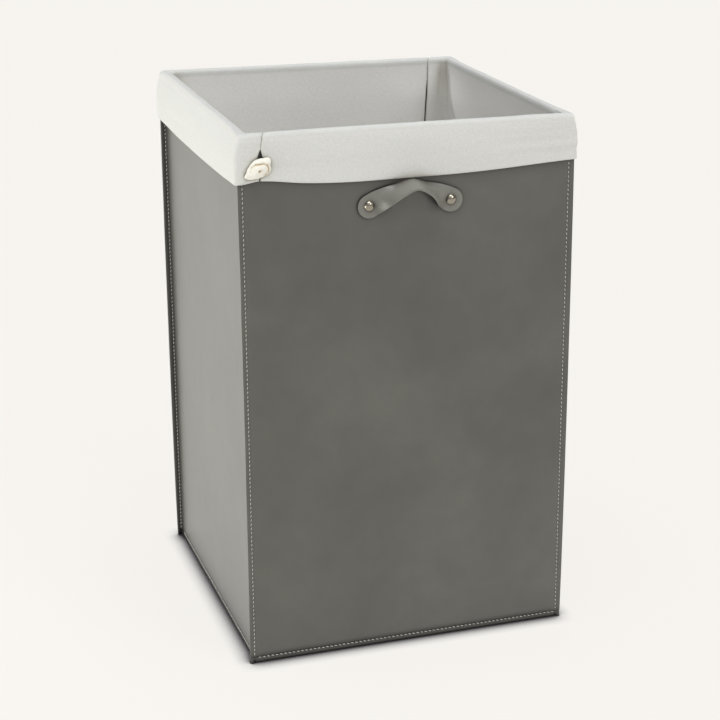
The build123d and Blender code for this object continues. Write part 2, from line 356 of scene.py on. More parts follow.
# ---- Topstitching --------------------------------------------------------------------------
# Thick light grey thread in slanted stitches, through both leathers of each fin and through
# the foot of each wall and the base's turned-up edge.
stitch_pitch = 0.0050
stitch_length = 0.0036
stitch_width = 0.0012

thread_grey, shader, add, link = new_material("thread_grey")
place = add("ShaderNodeTexCoord")
twist = add("ShaderNodeTexWave", wave_type="BANDS", bands_direction="DIAGONAL")
twist.inputs["Scale"].default_value = 420.0
shade = add("ShaderNodeValToRGB")
ramp_colours(shade, [(0.0, (0.40, 0.40, 0.36)), (1.0, (0.60, 0.60, 0.55))])
bump = add("ShaderNodeBump", Strength=0.5, Distance=0.0002)
link(place.outputs["Object"], twist.inputs["Vector"])
link(twist.outputs["Fac"], shade.inputs["Fac"])
link(shade.outputs["Color"], shader.inputs["Base Color"])
link(twist.outputs["Fac"], bump.inputs["Height"])
link(bump.outputs["Normal"], shader.inputs["Normal"])
shader.inputs["Roughness"].default_value = 0.7


def stitch_row(name, start, end, outward, slant=0.20):
    """A row of stitches from start to end, lying on a face that looks outward."""
    start, end, outward = Vector(start), Vector(end), Vector(outward)
    run = end - start
    count = int(run.length / stitch_pitch)
    run.normalize()
    bpy.ops.object.select_all(action="DESELECT")
    bpy.ops.mesh.primitive_uv_sphere_add(segments=6, ring_count=5, radius=0.5)
    stitch = bpy.context.object
    stitch.name = name
    stitch.data.name = name
    open_mesh()
    bpy.ops.transform.resize(value=(stitch_width, stitch_width * 0.9, stitch_length))
    bpy.ops.object.mode_set(mode="OBJECT")
    across = run.cross(outward)
    along = (run + across * slant).normalized()
    across = along.cross(outward)
    lie = Matrix((across, outward, along)).transposed().to_4x4()
    if lie.determinant() < 0:
        lie = Matrix((-across, outward, along)).transposed().to_4x4()
    stitch.data.transform(Matrix.Translation(start + run * stitch_pitch / 2) @ lie)
    repeat = stitch.modifiers.new("row", "ARRAY")
    repeat.count = count
    repeat.use_relative_offset = False
    repeat.use_constant_offset = True
    repeat.constant_offset_displace = run * stitch_pitch
    apply_modifiers(stitch)
    bpy.ops.object.shade_smooth()
    stitch.data.materials.append(thread_grey)
    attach(stitch, "shell")


row_foot, row_top = 0.0085, wall_top - 0.006
sunk_face = -face_y - 0.00060
sunk_side = fin_root - 0.00035
flange_face = flange_y - 0.00005
for x_side, x_name in ((-1, "left"), (1, "right")):
    for y_side, y_name in ((-1, "front"), (1, "back")):
        seam = x_side * seam_x
        stitch_row(
            f"{y_name}_{x_name}_fin_stitches",
            (seam, y_side * sunk_face, row_foot), (seam, y_side * sunk_face, row_top), (0, y_side, 0),
            slant=0.20 * x_side * y_side,
        )
        fin_seam = x_side * (seam_x + 0.0010)
        stitch_row(
            f"{y_name}_{x_name}_fin_inner_stitches",
            (fin_seam, y_side * flange_face, row_foot), (fin_seam, y_side * flange_face, row_top),
            (0, -y_side, 0),
        )
for y_side, y_name in ((-1, "front"), (1, "back")):
    stitch_row(
        f"{y_name}_foot_stitches",
        (y_side * 0.98 * seam_x, y_side * sunk_face, foot_seam_z),
        (-y_side * seam_x, y_side * sunk_face, foot_seam_z), (0, y_side, 0),
    )
for x_side, x_name in ((-1, "left"), (1, "right")):
    stitch_row(
        f"{x_name}_foot_stitches",
        (x_side * sunk_side, x_side * 0.975 * flange_y, foot_seam_z),
        (x_side * sunk_side, -x_side * 0.975 * flange_y, foot_seam_z), (x_side, 0, 0),
    )

# ---- Handle straps -------------------------------------------------------------------------
# A strip of the same leather, thicker, with round ends and bare cut edges. Two rivets hold it
# flat to the wall. Between them it arches up and out and turns its face upwards.
rivet_low, rivet_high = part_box("front_rivet_caps")
rivet_r = (rivet_high.z - rivet_low.z) / 2
rivet_x = rivet_high.x - rivet_r
rivet_z = (rivet_high.z + rivet_low.z) / 2
STRAP = 0.0024
strap_half = 0.013
strap_rise = 0.0268
strap_standoff = 0.0165
strap_free = 0.90
strap_waist = 0.15


def strap_arch(along):
    """Share of the full standoff, from 0 beside a rivet to 1 at the crown."""
    free = max(0.0, (strap_free - abs(along)) / strap_free)
    return sin(pi / 2 * free) ** 1.15


def strap_line(along):
    """Middle of the strap's back face, from -1 at one rivet to 1 at the other."""
    rise = strap_rise * (1 - (along**2 + 0.02) ** 0.45)
    return Vector((rivet_x * along, face_y - strap_standoff * strap_arch(along), rivet_z + rise))


def strap_frame(along):
    """Point, direction, and the way over the strap's width at a place between the rivets."""
    step = 1e-4
    run = (strap_line(along + step) - strap_line(along - step)).normalized()
    up_wall = run.cross(Vector((0, 1, 0))).normalized()
    if up_wall.z < 0:
        up_wall.negate()
    outward = run.cross(up_wall).normalized()
    if outward.y > 0:
        outward.negate()
    # It leans back until its upper edge meets the wall, and at the crown almost lies level.
    reach = 1.08 * strap_standoff * strap_arch(along) / strap_half
    lean = reach / (1 + (reach / 0.985) ** 6) ** (1 / 6)
    over = up_wall * sqrt(1 - lean**2) - outward * lean
    face = up_wall * lean + outward * sqrt(1 - lean**2)
    return strap_line(along), run, over, face


strap_leather = leather_finish(
    "strap_leather",
    (0.138, 0.137, 0.116), (0.160, 0.158, 0.136), (0.187, 0.184, 0.160),
    rough_low=0.36, rough_high=0.48, grain=0.14,
)
strap_edge = leather_finish(
    "strap_edge",
    (0.15, 0.147, 0.127), (0.18, 0.177, 0.153), (0.21, 0.205, 0.18),
    rough_low=0.55, rough_high=0.70, grain=0.30,
)

front_strap = start_grid("front_strap", 120, 14)
bpy.ops.object.mode_set(mode="OBJECT")
cap_share = strap_half / (strap_half + rivet_x)
for vertex in front_strap.data.vertices:
    along, across = vertex.co.x * 2, vertex.co.y * 2
    side = 1 if along > 0 else -1
    body_share = 1 - cap_share
    if abs(along) <= body_share:
        point, run, over, face = strap_frame(along / body_share * 0.99999)
        width = strap_half * (1 - strap_waist * smooth(1 - abs(along) / body_share, 0.05, 0.45))
    else:
        point, run, over, face = strap_frame(side * 0.99999)
        beyond = sin(pi / 2 * (abs(along) - body_share) / cap_share)
        point = point + run * side * strap_half * beyond
        width = strap_half * sqrt(max(0.0, 1 - beyond**2))
    place = point + over * across * width + face * STRAP
    rivet_gap = (Vector((abs(place.x), 0, place.z)) - Vector((rivet_x, 0, rivet_z))).length
    press = 0.00035 * exp(-((rivet_gap / 0.0085) ** 4))
    vertex.co = place - face * press
open_mesh()
bpy.ops.mesh.remove_doubles(threshold=0.00005)
close_outward()
if min(front_strap.data.polygons, key=lambda f: (f.center - strap_line(0.95)).length).normal.y > 0:
    front_strap.data.flip_normals()
front_strap.data.materials.append(strap_leather)
front_strap.data.materials.append(strap_edge)
give_thickness(front_strap, STRAP, 0.0004, 3, rim_slot=1, even=False)
rear_strap = copy_turned(front_strap, "rear_strap", pi)
for strap, node in ((front_strap, "front_handle_strap"), (rear_strap, "rear_handle_strap")):
    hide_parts(node)
    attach(strap, "shell")

# ---- Rivets, boards and linings ------------------------------------------------------------
# Nickel-plated double-cap rivets. The boards are raw greyboard, and their inner faces carry a
# thin woven lining. The rivets and boards keep the shapes that the frame gives them.
nickel, shader, add, link = new_material("nickel")
place = add("ShaderNodeTexCoord")
scuff = add("ShaderNodeTexNoise", Scale=900.0, Detail=4.0, Roughness=0.7)
gloss = add("ShaderNodeMapRange")
gloss.inputs["To Min"].default_value = 0.10
gloss.inputs["To Max"].default_value = 0.26
tone = add("ShaderNodeValToRGB")
ramp_colours(tone, [(0.35, (0.27, 0.24, 0.185)), (0.65, (0.40, 0.37, 0.31))])
link(place.outputs["Object"], scuff.inputs["Vector"])
link(scuff.outputs["Fac"], gloss.inputs["Value"])
link(gloss.outputs["Result"], shader.inputs["Roughness"])
link(scuff.outputs["Fac"], tone.inputs["Fac"])
link(tone.outputs["Color"], shader.inputs["Base Color"])
shader.inputs["Metallic"].default_value = 1.0

greyboard, shader, add, link = new_material("greyboard")
place = add("ShaderNodeTexCoord")
fibre = add("ShaderNodeTexNoise", Scale=260.0, Detail=6.0, Roughness=0.75)
tone = add("ShaderNodeValToRGB")
ramp_colours(tone, [(0.3, (0.30, 0.26, 0.20)), (0.55, (0.40, 0.35, 0.27)), (0.8, (0.50, 0.45, 0.36))])
bump = add("ShaderNodeBump", Strength=0.25, Distance=0.0004)
link(place.outputs["Object"], fibre.inputs["Vector"])
link(fibre.outputs["Fac"], tone.inputs["Fac"])
link(tone.outputs["Color"], shader.inputs["Base Color"])
link(fibre.outputs["Fac"], bump.inputs["Height"])
link(bump.outputs["Normal"], shader.inputs["Normal"])
shader.inputs["Roughness"].default_value = 0.9


def use_material(node, material):
    """Give a node of the frame its finish."""
    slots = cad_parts[node].data.materials
    slots.clear()
    slots.append(material)


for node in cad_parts:
    if "rivet" in node:
        use_material(node, nickel)
        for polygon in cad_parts[node].data.polygons:
            polygon.use_smooth = False
    if node.endswith("_board"):
        use_material(node, greyboard)
use_material("base_cover", wall_leather)


def woven_finish(name, dark, light, pitch, contrast, rough, relief=0.35, sheen=0.0):
    """Plain-woven cloth on the piece's own UV map, in metres: yarns, slubs, soft bump, painted shade."""
    material, shader, add, link = new_material(name)
    place = add("ShaderNodeUVMap")
    warp_map = add("ShaderNodeMapping")
    weft_map = add("ShaderNodeMapping")
    warp_map.inputs["Scale"].default_value = (1 / pitch, 0.30 / pitch, 1)
    weft_map.inputs["Scale"].default_value = (0.25 / pitch, 1 / pitch, 1)
    warp = add("ShaderNodeTexNoise", Scale=1.0, Detail=3.0, Roughness=0.65)
    weft = add("ShaderNodeTexNoise", Scale=1.0, Detail=3.0, Roughness=0.65)
    cloud = add("ShaderNodeTexNoise", Scale=9.0, Detail=3.0)
    yarns = add("ShaderNodeMath", operation="ADD")
    both = add("ShaderNodeMath", operation="MULTIPLY_ADD")
    both.inputs[1].default_value = 0.18
    tone = add("ShaderNodeValToRGB")
    middle = 1.09  # what two even yarns and an even cloud add up to
    ramp_colours(tone, [(0.0, dark), (1.0, light)])
    spread = add("ShaderNodeMapRange")
    spread.inputs["From Min"].default_value = middle - contrast
    spread.inputs["From Max"].default_value = middle + contrast
    bump = add("ShaderNodeBump", Strength=relief, Distance=0.0005)
    for mapping, yarn in ((warp_map, warp), (weft_map, weft)):
        link(place.outputs["UV"], mapping.inputs["Vector"])
        link(mapping.outputs["Vector"], yarn.inputs["Vector"])
    link(place.outputs["UV"], cloud.inputs["Vector"])
    link(warp.outputs["Fac"], yarns.inputs[0])
    link(weft.outputs["Fac"], yarns.inputs[1])
    link(cloud.outputs["Fac"], both.inputs[0])
    link(yarns.outputs[0], both.inputs[2])
    link(both.outputs[0], spread.inputs["Value"])
    link(spread.outputs["Result"], tone.inputs["Fac"])
    # Painted shade: the colour is multiplied towards a cool grey by the attribute that liner_length
    # writes.
    painted_cuff_shade = add("ShaderNodeAttribute", attribute_name="painted_cuff_shade")
    cuff_shade_mix = add("ShaderNodeMixRGB", blend_type="MULTIPLY")
    cuff_shade_mix.inputs["Color2"].default_value = (0.725, 0.745, 0.75, 1)
    link(painted_cuff_shade.outputs["Fac"], cuff_shade_mix.inputs["Fac"])
    link(tone.outputs["Color"], cuff_shade_mix.inputs["Color1"])
    # Painted shade: warm grey in corners, folds and beside strap and knot, where shade falls.
    warm_painted_shade = [(0.42, (0.25, 0.23, 0.19)), (0.74, (0.68, 0.66, 0.60)), (0.92, (1, 1, 1))]
    colour = painted_hollow_shade(add, link, cuff_shade_mix.outputs["Color"], 0.019, warm_painted_shade)
    link(colour, shader.inputs["Base Color"])
    link(yarns.outputs[0], bump.inputs["Height"])
    link(bump.outputs["Normal"], shader.inputs["Normal"])
    shader.inputs["Roughness"].default_value = rough
    shader.inputs["Specular IOR Level"].default_value = 0.25
    shader.inputs["Sheen Weight"].default_value = sheen
    return material


def set_uv(piece, metres):
    """Write each vertex's place on the cut cloth, in metres, into the UV map."""
    layer = piece.data.uv_layers.active
    for loop in piece.data.loops:
        layer.data[loop.index].uv = metres[loop.vertex_index]


# Thin grey twill, glued flat to the boards below the turned-in leather.
lining_twill = woven_finish(
    "lining_twill", (0.10, 0.098, 0.088), (0.20, 0.195, 0.175), pitch=0.0011, contrast=0.22, rough=0.85
)
lining_turns = {"front_lining": 0, "left_lining": pi / 2, "back_lining": pi, "right_lining": -pi / 2}
for node, turn in lining_turns.items():
    low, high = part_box(node)
    middle = (low + high) / 2
    size = high - low
    wide, tall, thick = max(size.x, size.y), size.z, min(size.x, size.y)
    panel = start_grid(node + "_twill", 40, 60)
    bpy.ops.transform.resize(value=(wide - 0.0006, tall - 0.0004, 1))
    bpy.ops.object.mode_set(mode="OBJECT")
    flat = [Vector((v.co.x, v.co.y)) for v in panel.data.vertices]
    set_uv(panel, flat)
    for vertex in panel.data.vertices:
        ripple = 0.0001 * noise.noise(Vector((vertex.co.x * 30, vertex.co.y * 20, turn)))
        vertex.co.z = ripple
    upright = Matrix.Rotation(pi / 2, 4, "X")
    face_in = Matrix.Rotation(-turn + pi, 4, "Z")
    panel.data.transform(Matrix.Translation(middle) @ face_in @ upright)
    panel.data.materials.append(lining_twill)
    give_thickness(panel, thick * 0.8, 0.0001, 1)
    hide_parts(node)
    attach(panel, "shell")

# ---- Base insert ---------------------------------------------------------------------------
# A loose greyboard square wrapped in the lining twill, which stiffens the bottom. It lies
# under the liner and lifts out.
low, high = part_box("insert_cover")
bpy.ops.object.select_all(action="DESELECT")
bpy.ops.mesh.primitive_cube_add(size=1, location=(low + high) / 2)
insert = bpy.context.object
insert.name = insert.data.name = "insert_wrap"
open_mesh()
bpy.ops.transform.resize(value=tuple(high - low))
bpy.ops.mesh.bevel(offset=0.0022, segments=4, affect="EDGES")
bpy.ops.object.mode_set(mode="OBJECT")
bpy.ops.object.transform_apply(location=True, rotation=True, scale=True)
insert.modifiers.new("even faces", "REMESH").voxel_size = 0.003
insert.modifiers["even faces"].mode = "VOXEL"
bpy.ops.object.shade_smooth()
apply_modifiers(insert)
insert.data.uv_layers.new(name="cut")
set_uv(insert, [Vector((v.co.x, v.co.y)) for v in insert.data.vertices])
bpy.ops.object.shade_smooth()
insert.data.materials.append(lining_twill)
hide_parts("insert_cover")
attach(insert, "base_insert")

# ---- Liner ---------------------------------------------------------------------------------
# Heathered cotton canvas. Two lengths meet at a seam in the front face and one in the back
# face. Each stands inside the walls, rolls over the rim and hangs outside as a cuff, and the
# edge of the cuff is turned up inside as a casing, where the front seam is open as a keyhole.
CLOTH = 0.0010
bottom_low, bottom_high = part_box("liner_bottom")
cuff_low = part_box("liner_back_left")[0]
bag_mid = Vector((bottom_high.x - CLOTH / 2, bottom_high.y - CLOTH / 2))
hem_mid = Vector((-cuff_low.x - CLOTH / 2, -cuff_low.y - CLOTH / 2))
hem_z = wall_top - 0.051
bag_floor = bottom_high.z
front_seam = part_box("liner_front_right")[0].x
back_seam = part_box("liner_back_left")[1].x
hem_turn = 0.034
casing_gap = 0.0024
casing_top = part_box("hem_elastic")[1].z + 0.001
corner_round = 0.006
corner_place = bag_mid - Vector((corner_round, corner_round))
shoulder = Vector((0.0094, 0.0090))
shoulder_at_fin = Vector((0.0128, 0.0102))
rim_rise = 0.0068
keyhole_low, keyhole_wide, keyhole_high = 0.566, 0.583, 0.592
keyhole_open = 0.0030
slack_left, slack_right, slack_back_left, slack_back_right = 0.0032, 0.0009, 0.0078, 0.0042
hem_corner_rise = 0.0016
hem_sag_side, hem_sag_face = 0.0031, 0.0060
hem_pull = 0.0034  # how far the knot draws the hem up
pleat_run = 0.068  # how far from the corner the inner pleat's crest gets


def rim_height(x, y):
    """Height of the rolled cloth at a place on the rim. It lies loosest at the back left."""
    across = min(1.0, max(0.0, (x / bag_mid.x + 1) / 2))
    back = min(1.0, max(0.0, (y / bag_mid.y + 1) / 2))
    front = slack_left + (slack_right - slack_left) * across**1.5
    rear = slack_back_left + (slack_back_right - slack_back_left) * across
    uneven = 0.0004 * noise.noise(Vector((x * 16, y * 16, 2.0)))
    return wall_top + front + (rear - front) * back + uneven


def liner_rows():
    """The liner's section from the bag's floor to the turned-up hem, as (zone, share) pairs."""
    rows = [("bag", 1 - (1 - i / 64) ** 1.35) for i in range(64)]
    rows += [("rim", i / 14) for i in range(15)]
    rows += [("cuff", (i + 1) / 18) for i in range(18)]
    rows += [("fold", (i + 1) / 5) for i in range(5)]
    rows += [("turn", (i + 1) / 8) for i in range(8)]
    return rows


def liner_stations(start, end):
    """Places along the liner's plan from one seam to the other, as (wall, place) pairs."""
    beside_seam = [0, 0.0008, 0.0016, 0.0026]
    places = [("front", start + d) for d in beside_seam]
    first, last = places[-1][1], corner_place.x
    count = int((last - first) / 0.005)
    places += [("front", first + (last - first) * (i + 1) / count) for i in range(count)]
    places += [("first_corner", (i + 1) / 7) for i in range(6)]
    close = 0.090  # the stretch of fine stations beside the second corner, for its pleat
    run = 2 * corner_place.y - close
    count = int(run / 0.005)
    places += [("side", -corner_place.y + run * i / count) for i in range(count)]
    places += [("side", corner_place.y - close + close * i / 48) for i in range(49)]
    places += [("second_corner", (i + 1) / 7) for i in range(6)]
    first, last = corner_place.x, end + beside_seam[-1]
    count = max(3, int((first - last) / 0.003))
    places += [("back", first + (last - first) * i / count) for i in range(count)]
    places += [("back", end + d) for d in reversed(beside_seam)]
    return places


def cuff_half(z, springing, out):
    """Half size of the cuff at a height: it leaves the wall's edge and runs out to the casing."""
    share = min(1.0, max(0.0, (springing - z) / (springing - casing_top)))
    return bag_mid + out + (hem_mid - bag_mid - out) * (1 - (1 - share) ** 1.8)


def spread(place, nominal, reach):
    """Move a place along a wall so that the wall's ends reach the corner's start."""
    return place + (1 if place > 0 else -1) * (reach - nominal) * abs(place / nominal) ** 8


def wrap_point(station, row, seed, turn, ends):
    """One point of a length of cloth, before the second length is turned to its side."""
    wall, place = station
    zone, share = row
    here = 1 if turn == 0 else -1
    plan = {
        "front": (place, -bag_mid.y), "side": (bag_mid.x, place), "back": (place, bag_mid.y),
        "first_corner": (bag_mid.x, -bag_mid.y), "second_corner": (bag_mid.x, bag_mid.y),
    }[wall]
    top = rim_height(here * plan[0], here * plan[1])
    springing = top - rim_rise
    along = abs(place) / (corner_place.y if wall == "side" else corner_place.x)
    at_corner = 1.0 if "corner" in wall else smooth(along, 0.78, 1.0)
    hem = hem_z + hem_corner_rise
    if "corner" not in wall:
        deepest = hem_sag_side if wall == "side" else hem_sag_face
        hem -= deepest * (1 - min(1, along) ** 2.4)
    if wall == ("front" if turn == 0 else "back"):
        pull = exp(-(((place * here - front_seam) / 0.026) ** 2))
        hem += hem_pull * pull * (1 - smooth(along, 0.92, 1.0))
    hem += 0.0010 * noise.noise(Vector((plan[0] * here * 11, plan[1] * here * 11, 4.0)))
    out = shoulder.lerp(shoulder_at_fin, at_corner)
    radius = 0.004
    lean = 0.0
    if zone == "bag":
        z = bag_floor + (springing - bag_floor) * share
        depth = top - z
        half = bag_mid
        radius = corner_round + 0.010 * smooth(depth, 0.002, 0.09)
        lean = pi
    elif zone == "rim":
        lean = pi * (1 - share)
        z = springing + rim_rise * max(0.0, sin(lean)) ** 0.74
        depth = top - z
        swing = (1 if cos(lean) > 0 else -1) * abs(cos(lean)) ** 0.74
        half = bag_mid + out * (swing + 1) / 2
        radius = corner_round - 0.001 * share
    elif zone == "cuff":
        z = springing + (hem + 0.001 - springing) * share
        depth = top - z
        half = cuff_half(z, springing, out)
        radius = 0.005 - 0.002 * share
    elif zone == "fold":
        lean = -pi * share
        half = hem_mid - Vector((1, 1)) * casing_gap / 2 * (1 - cos(lean))
        z = hem + 0.001 + 0.001 * sin(lean)
        depth = top - z
        radius = 0.003 - 0.0015 * share
    else:
        lean = -pi
        rise = hem_turn * share
        for name, edge in (("front", ends[0]), ("back", ends[1])):
            if wall == name:
                rise *= 0.12 + 0.88 * smooth(abs(place - edge), 0.006, 0.016)
        z = hem + 0.001 + rise
        depth = top - z
        half = cuff_half(z, springing, out) - Vector((1, 1)) * casing_gap
        radius = 0.0015
    if "corner" in wall:
        angle = place * pi / 2 - (pi / 2 if wall == "first_corner" else 0)
        normal = Vector((cos(angle), sin(angle)))
        corner = half - Vector((radius, radius))
        centre = Vector((corner.x, corner.y if wall == "second_corner" else -corner.y))
        point = centre + normal * radius
    elif wall == "side":
        point = Vector((half.x, spread(place, corner_place.y, half.y - radius)))
        normal = Vector((1, 0))
    else:
        face = 1 if wall == "back" else -1
        point = Vector((spread(place, corner_place.x, half.x - radius), face * half.y))
        normal = Vector((0, face))
    # Softness of the cloth: slack and a lifted pleat inside, ripples outside.
    spot = Vector((point.x * here, point.y * here, z))
    key = Vector((seed, seed * 2.7, 0))
    lift = 0.0
    if zone == "bag":
        free = smooth(depth, 0.006, 0.05) * smooth(z - bag_floor, 0, 0.05)
        broad = noise.noise(Vector((spot.x * 13, spot.y * 13, z * 3.2)) + key)
        small = noise.noise(Vector((spot.x * 42, spot.y * 42, z * 17)) + key)
        lift = max(free * (0.0016 + 0.0022 * broad + 0.0005 * small), -0.0002)
        if wall == "side":
            from_corner = corner_place.y - place
            crest = 0.002 + pleat_run * min(1.0, depth / 0.080)
            height = (0.0100 if turn == 0 else 0.0030) * smooth(depth, 0.002, 0.055)
            height *= 1 - 0.7 * smooth(depth, 0.12, 0.4)
            if from_corner < crest:
                lift += height * max(0.0, 1 - (crest - from_corner) / 0.008) ** 1.2
                lift -= 0.8 * free * 0.0016 * smooth(crest - from_corner, 0.004, 0.012)
            else:
                lift += height * exp(-(((from_corner - crest) / 0.050) ** 1.2))
        if wall == "side" or "corner" in wall:
            lift += 0.0022 * smooth(depth, 0.002, 0.010) * (1 - smooth(depth, 0.015, 0.05)) * (here < 0)
    elif zone == "rim":
        lift = 0.0003 * noise.noise(Vector((spot.x * 34, spot.y * 34, seed)))
    elif zone == "cuff":
        wave = noise.noise(Vector((spot.x * 13, spot.y * 13, z * 45)) + key)
        ripple = noise.noise(Vector((spot.x * 7, spot.y * 7, z * 120)) + key)
        right = smooth(spot.x, 0.03, 0.13) if spot.y < 0 else 0.35
        free = smooth(share, 0.0, 0.25) * (1 - 0.7 * smooth(share, 0.75, 1.0))
        lift = free * (0.0008 * wave + (0.0003 + 0.0010 * right) * ripple)
    # The seam: both edges turn in. On the cuff they part round the keyhole.
    for name, edge in (("front", ends[0]), ("back", ends[1])):
        if wall != name:
            continue
        gap = abs(place - edge)
        lift -= (0.0005 if zone == "cuff" else 0.0012) * max(0.0, 1 - gap / 0.0026) ** 1.5
        if zone in ("cuff", "bag"):
            lift += 0.0006 * exp(-gap / 0.008) * noise.noise(Vector((gap * 60, z * 160, seed)))
        if zone == "bag":
            parted = smooth(depth, 0.015, 0.05) * (1 - smooth(depth, 0.09, 0.15))
            point.x += (0.0002 + 0.0007 * parted) * smooth(depth, 0, 0.01) * exp(-gap / 0.004)
        if zone not in ("bag", "rim") and (name == "front") == (turn == 0) and z < keyhole_high:
            if z > keyhole_wide:
                part = (keyhole_high - z) / (keyhole_high - keyhole_wide)
            else:
                part = 0.16 + 0.84 * smooth(z, keyhole_low, keyhole_wide)
            point.x += keyhole_open * part**0.8 * exp(-gap / 0.009)
            lift += 0.0007 * part * exp(-(((gap - 0.004) / 0.004) ** 2))
    point = point + normal * lift * cos(lean)
    z += lift * abs(sin(lean)) if zone == "rim" else 0
    return Vector((point.x, point.y, z))


def liner_length(name, ends, turn, seed):
    """One length of the liner, from seam to seam, turned to its side of the hamper."""
    rows = liner_rows()
    stations = liner_stations(*ends)
    columns, lines = len(stations) - 1, len(rows) - 1
    cloth = start_grid(name, columns, lines)
    bpy.ops.object.mode_set(mode="OBJECT")
    grid = {}
    for vertex in cloth.data.vertices:
        i = round((vertex.co.x + 0.5) * columns)
        j = round((vertex.co.y + 0.5) * lines)
        grid[i, j] = vertex.index
        vertex.co = wrap_point(stations[i], rows[j], seed, turn, ends)
    # Painted shade: the rim and cuff are coloured darker and greyer than the bag, where less light falls.
    painted_cuff_shade = cloth.data.attributes.new("painted_cuff_shade", "FLOAT", "POINT")
    for (i, j), index in grid.items():
        zone, share = rows[j]
        painted_cuff_shade.data[index].value = {"bag": 0.0, "rim": 1 - abs(0.5 - share)}.get(zone, 0.6)
    places = cloth.data.vertices
    cut = {}
    column_measured, row_measured, up = columns // 3, 30, 0.0
    for j in range(lines + 1):
        if j:
            below, above = grid[column_measured, j - 1], grid[column_measured, j]
            up += (places[above].co - places[below].co).length
        across = 0.0
        for i in range(columns + 1):
            if i:
                before, after = grid[i - 1, row_measured], grid[i, row_measured]
                across += (places[after].co - places[before].co).length
            cut[grid[i, j]] = Vector((across, up))
    set_uv(cloth, cut)
    cloth.data.transform(Matrix.Rotation(turn, 4, "Z"))
    cloth.data.materials.append(canvas)
    open_mesh()
    close_outward()
    solid = cloth.modifiers.new("thickness", "SOLIDIFY")
    solid.thickness = CLOTH
    solid.offset = 0
    apply_modifiers(cloth)
    bpy.ops.object.shade_smooth()
    return cloth


canvas = woven_finish(
    "heather_canvas", (0.705, 0.698, 0.668), (0.91, 0.903, 0.872),
    pitch=0.0011, contrast=0.55, rough=0.95, relief=0.4, sheen=0.1,
)
front_right_cloth = liner_length("liner_front_right_cloth", (front_seam, back_seam), 0.0, 3.0)
back_left_cloth = liner_length("liner_back_left_cloth", (-back_seam, -front_seam), pi, 8.0)
for cloth, node, wall in (
    (front_right_cloth, "liner_front_right", "front_leather"),
    (back_left_cloth, "liner_back_left", "back_leather"),
):
    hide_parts(node)
    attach(cloth, "liner")

bottom = start_grid("liner_bottom_cloth", 70, 70)
bpy.ops.transform.resize(value=(2 * bottom_high.x - 0.002, 2 * bottom_high.y - 0.002, 1))
bpy.ops.object.mode_set(mode="OBJECT")
set_uv(bottom, [Vector((v.co.x, v.co.y)) for v in bottom.data.vertices])
for vertex in bottom.data.vertices:
    x, y = vertex.co.x, vertex.co.y
    edge = min(bottom_high.x - abs(x), bottom_high.y - abs(y))
    puff = 0.0022 * noise.noise(Vector((x * 11, y * 11, 4.0)))
    puff += 0.0007 * noise.noise(Vector((x * 34, y * 34, 1.0)))
    vertex.co.z = bottom_low.z + CLOTH + smooth(edge, 0.002, 0.03) * max(0.0, 0.0016 + puff)
bottom.data.materials.append(canvas)
solid = bottom.modifiers.new("thickness", "SOLIDIFY")
solid.thickness = CLOTH
solid.offset = -1
apply_modifiers(bottom)
bpy.ops.object.shade_smooth()
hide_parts("liner_bottom")
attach(bottom, "liner")

# ---- Elastic and its knot ------------------------------------------------------------------
# Soft cream elastic tape, 8 mm wide, in the casing. Its end comes out of the keyhole, bends
# over to the left and is tucked through its own loop, which leaves a flat knot with one point.
tape_cream, shader, add, link = new_material("tape_cream")
place = add("ShaderNodeTexCoord")
ribs = add("ShaderNodeTexWave", wave_type="BANDS", bands_direction="X")
ribs.inputs["Scale"].default_value = 260.0
ribs.inputs["Distortion"].default_value = 3.0
ribs.inputs["Detail"].default_value = 3.0
fluff = add("ShaderNodeTexNoise", Scale=500.0, Detail=3.0)
tone = add("ShaderNodeValToRGB")
ramp_colours(tone, [(0.2, (0.80, 0.775, 0.69)), (0.8, (0.88, 0.865, 0.79))])
# Painted shade: the cream turns golden brown along the knot's folds and in its eye, by the fold
# attribute.
depth = add("ShaderNodeAttribute", attribute_name="fold")
fold_shade_mix = add("ShaderNodeMixRGB", blend_type="MIX")
fold_shade_mix.inputs["Color2"].default_value = (0.60, 0.46, 0.21, 1)
bump = add("ShaderNodeBump", Strength=0.3, Distance=0.0003)
link(place.outputs["Object"], ribs.inputs["Vector"])
link(place.outputs["Object"], fluff.inputs["Vector"])
link(fluff.outputs["Fac"], tone.inputs["Fac"])
link(tone.outputs["Color"], fold_shade_mix.inputs["Color1"])
link(depth.outputs["Fac"], fold_shade_mix.inputs["Fac"])
link(fold_shade_mix.outputs["Color"], shader.inputs["Base Color"])
link(ribs.outputs["Fac"], bump.inputs["Height"])
link(bump.outputs["Normal"], shader.inputs["Normal"])
shader.inputs["Roughness"].default_value = 0.75
shader.inputs["Sheen Weight"].default_value = 0.2
band_low, band_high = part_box("hem_elastic")
bpy.ops.object.select_all(action="DESELECT")
bpy.ops.mesh.primitive_plane_add(size=1, location=(0, 0, band_low.z))
band = bpy.context.object
band.name = band.data.name = "hem_tape"
open_mesh()
bpy.ops.transform.resize(value=(2 * band_high.x - 0.0006, 2 * band_high.y - 0.0006, 1))
bpy.ops.mesh.bevel(offset=0.006, segments=8, affect="VERTICES")
bpy.ops.mesh.select_all(action="SELECT")
bpy.ops.mesh.delete(type="ONLY_FACE")
bpy.ops.mesh.select_all(action="SELECT")
bpy.ops.mesh.extrude_region_move(TRANSFORM_OT_translate={"value": (0, 0, band_high.z - band_low.z)})
close_outward()
bpy.ops.object.transform_apply(location=True, rotation=True, scale=True)
band.data.materials.append(tape_cream)
give_thickness(band, 0.0008, 0.0002, 2)
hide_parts("hem_elastic")
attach(band, "liner")

